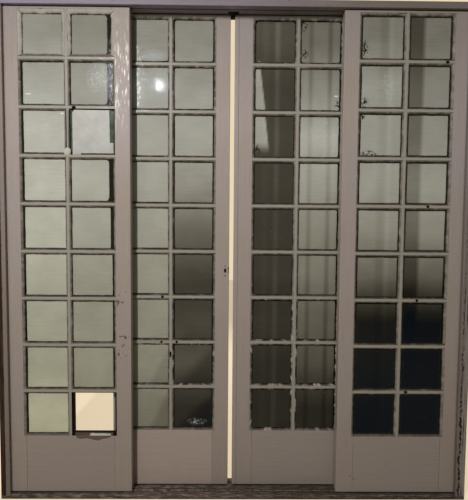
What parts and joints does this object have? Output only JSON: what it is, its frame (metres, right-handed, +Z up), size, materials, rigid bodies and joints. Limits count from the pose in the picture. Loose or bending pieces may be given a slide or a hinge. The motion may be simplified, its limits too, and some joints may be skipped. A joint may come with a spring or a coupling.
{
  "type": "glazed timber sliding door with its frame",
  "caption": "Old painted timber sliding door: glazed leaves with small panes run on two tracks in a beaded frame, each on grooved rollers over a steel rail.",
  "frame": {"origin": "middle of the sill's underside, at the bottom centre of the whole frame", "axes": "+X to the right seen from the puttied side, +Y from that side to the back, +Z up"},
  "size_m": [2.062, 0.136, 2.168],
  "materials": {
    "frame_paint": "old gloss paint on timber, chipped",
    "leaf_paint": "old gloss paint on timber",
    "bar_paint": "old gloss paint on timber, chipped at the edges",
    "sill_timber": "worn paint over bare timber",
    "pane_glass": "old glass with a brushed whitish film",
    "patch_sheet": "dusty whitish sheet",
    "putty": "brittle putty under old paint",
    "rail_steel": "worn and dusty",
    "roller_case_steel": "dark, lightly rusted",
    "axle_steel": "turned",
    "sheave_iron": "worn tread",
    "lock_steel": "dark, lightly rusted"
  },
  "bodies": {
    "frame": {"sill": "sill_timber", "head": "frame_paint", "left_jamb": "frame_paint", "right_jamb": "frame_paint", "front_rail": "rail_steel", "rear_rail": "rail_steel", "rail_pins": "rail_steel"},
    "leaf_1": {"leaf_1_left_stile": "leaf_paint", "leaf_1_right_stile": "leaf_paint", "leaf_1_bottom_rail": "leaf_paint", "leaf_1_top_rail": "leaf_paint", "leaf_1_horizontal_bars": "bar_paint", "leaf_1_vertical_bars": "bar_paint", "leaf_1_panes": "pane_glass", "leaf_1_putty": "putty", "leaf_1_roller_cases": "roller_case_steel", "leaf_1_axles": "axle_steel", "leaf_1_patch_sheet": "patch_sheet"},
    "leaf_2": {"leaf_2_left_stile": "leaf_paint", "leaf_2_right_stile": "leaf_paint", "leaf_2_bottom_rail": "leaf_paint", "leaf_2_top_rail": "leaf_paint", "leaf_2_horizontal_bars": "bar_paint", "leaf_2_vertical_bars": "bar_paint", "leaf_2_panes": "pane_glass", "leaf_2_putty": "putty", "leaf_2_roller_cases": "roller_case_steel", "leaf_2_axles": "axle_steel", "leaf_2_lock_case": "lock_steel"},
    "leaf_3": {"leaf_3_left_stile": "leaf_paint", "leaf_3_right_stile": "leaf_paint", "leaf_3_bottom_rail": "leaf_paint", "leaf_3_top_rail": "leaf_paint", "leaf_3_horizontal_bars": "bar_paint", "leaf_3_vertical_bars": "bar_paint", "leaf_3_panes": "pane_glass", "leaf_3_putty": "putty", "leaf_3_roller_cases": "roller_case_steel", "leaf_3_axles": "axle_steel", "leaf_3_closing_strip": "leaf_paint", "leaf_3_strike": "lock_steel"},
    "leaf_4": {"leaf_4_left_stile": "leaf_paint", "leaf_4_right_stile": "leaf_paint", "leaf_4_bottom_rail": "leaf_paint", "leaf_4_top_rail": "leaf_paint", "leaf_4_horizontal_bars": "bar_paint", "leaf_4_vertical_bars": "bar_paint", "leaf_4_panes": "pane_glass", "leaf_4_putty": "putty", "leaf_4_roller_cases": "roller_case_steel", "leaf_4_axles": "axle_steel"},
    "leaf_1_left_wheel": {"leaf_1_left_sheave": "sheave_iron"},
    "leaf_1_right_wheel": {"leaf_1_right_sheave": "sheave_iron"},
    "leaf_2_left_wheel": {"leaf_2_left_sheave": "sheave_iron"},
    "leaf_2_right_wheel": {"leaf_2_right_sheave": "sheave_iron"},
    "leaf_3_left_wheel": {"leaf_3_left_sheave": "sheave_iron"},
    "leaf_3_right_wheel": {"leaf_3_right_sheave": "sheave_iron"},
    "leaf_4_left_wheel": {"leaf_4_left_sheave": "sheave_iron"},
    "leaf_4_right_wheel": {"leaf_4_right_sheave": "sheave_iron"},
    "lock_bolt": {"leaf_2_lock_bolt": "lock_steel"}
  },
  "joints": [
    {"name": "leaf_1_slide", "type": "slide", "parent": "frame", "child": "leaf_1", "axis": [1, 0, 0], "range_m": [-0.005, 0.457]},
    {"name": "leaf_2_slide", "type": "slide", "parent": "frame", "child": "leaf_2", "axis": [1, 0, 0], "range_m": [-0.449, 0.009]},
    {"name": "leaf_3_slide", "type": "slide", "parent": "frame", "child": "leaf_3", "axis": [1, 0, 0], "range_m": [-0.009, 0.47]},
    {"name": "leaf_4_slide", "type": "slide", "parent": "frame", "child": "leaf_4", "axis": [1, 0, 0], "range_m": [-0.457, 0.005]},
    {"name": "leaf_1_left_wheel_spin", "type": "hinge", "parent": "leaf_1", "child": "leaf_1_left_wheel", "pos_m": [-0.861, -0.03, 0.0373], "axis": [0, 1, 0], "continuous": true},
    {"name": "leaf_1_right_wheel_spin", "type": "hinge", "parent": "leaf_1", "child": "leaf_1_right_wheel", "pos_m": [-0.594, -0.03, 0.0373], "axis": [0, 1, 0], "continuous": true},
    {"name": "leaf_2_left_wheel_spin", "type": "hinge", "parent": "leaf_2", "child": "leaf_2_left_wheel", "pos_m": [-0.4195, 0.03, 0.0373], "axis": [0, 1, 0], "continuous": true},
    {"name": "leaf_2_right_wheel_spin", "type": "hinge", "parent": "leaf_2", "child": "leaf_2_right_wheel", "pos_m": [-0.1625, 0.03, 0.0373], "axis": [0, 1, 0], "continuous": true},
    {"name": "leaf_3_left_wheel_spin", "type": "hinge", "parent": "leaf_3", "child": "leaf_3_left_wheel", "pos_m": [0.1415, 0.03, 0.0373], "axis": [0, 1, 0], "continuous": true},
    {"name": "leaf_3_right_wheel_spin", "type": "hinge", "parent": "leaf_3", "child": "leaf_3_right_wheel", "pos_m": [0.3985, 0.03, 0.0373], "axis": [0, 1, 0], "continuous": true},
    {"name": "leaf_4_left_wheel_spin", "type": "hinge", "parent": "leaf_4", "child": "leaf_4_left_wheel", "pos_m": [0.594, -0.03, 0.0373], "axis": [0, 1, 0], "continuous": true},
    {"name": "leaf_4_right_wheel_spin", "type": "hinge", "parent": "leaf_4", "child": "leaf_4_right_wheel", "pos_m": [0.861, -0.03, 0.0373], "axis": [0, 1, 0], "continuous": true},
    {"name": "lock_bolt_throw", "type": "slide", "parent": "leaf_2", "child": "lock_bolt", "axis": [1, 0, 0], "range_m": [0, 0.012]}
  ],
  "couplings": [
    {"joint": "leaf_1_left_wheel_spin", "follows": "leaf_1_slide", "rad_per_m": 66.667},
    {"joint": "leaf_1_right_wheel_spin", "follows": "leaf_1_slide", "rad_per_m": 66.667},
    {"joint": "leaf_2_left_wheel_spin", "follows": "leaf_2_slide", "rad_per_m": 66.667},
    {"joint": "leaf_2_right_wheel_spin", "follows": "leaf_2_slide", "rad_per_m": 66.667},
    {"joint": "leaf_3_left_wheel_spin", "follows": "leaf_3_slide", "rad_per_m": 66.667},
    {"joint": "leaf_3_right_wheel_spin", "follows": "leaf_3_slide", "rad_per_m": 66.667},
    {"joint": "leaf_4_left_wheel_spin", "follows": "leaf_4_slide", "rad_per_m": 66.667},
    {"joint": "leaf_4_right_wheel_spin", "follows": "leaf_4_slide", "rad_per_m": 66.667}
  ]
}
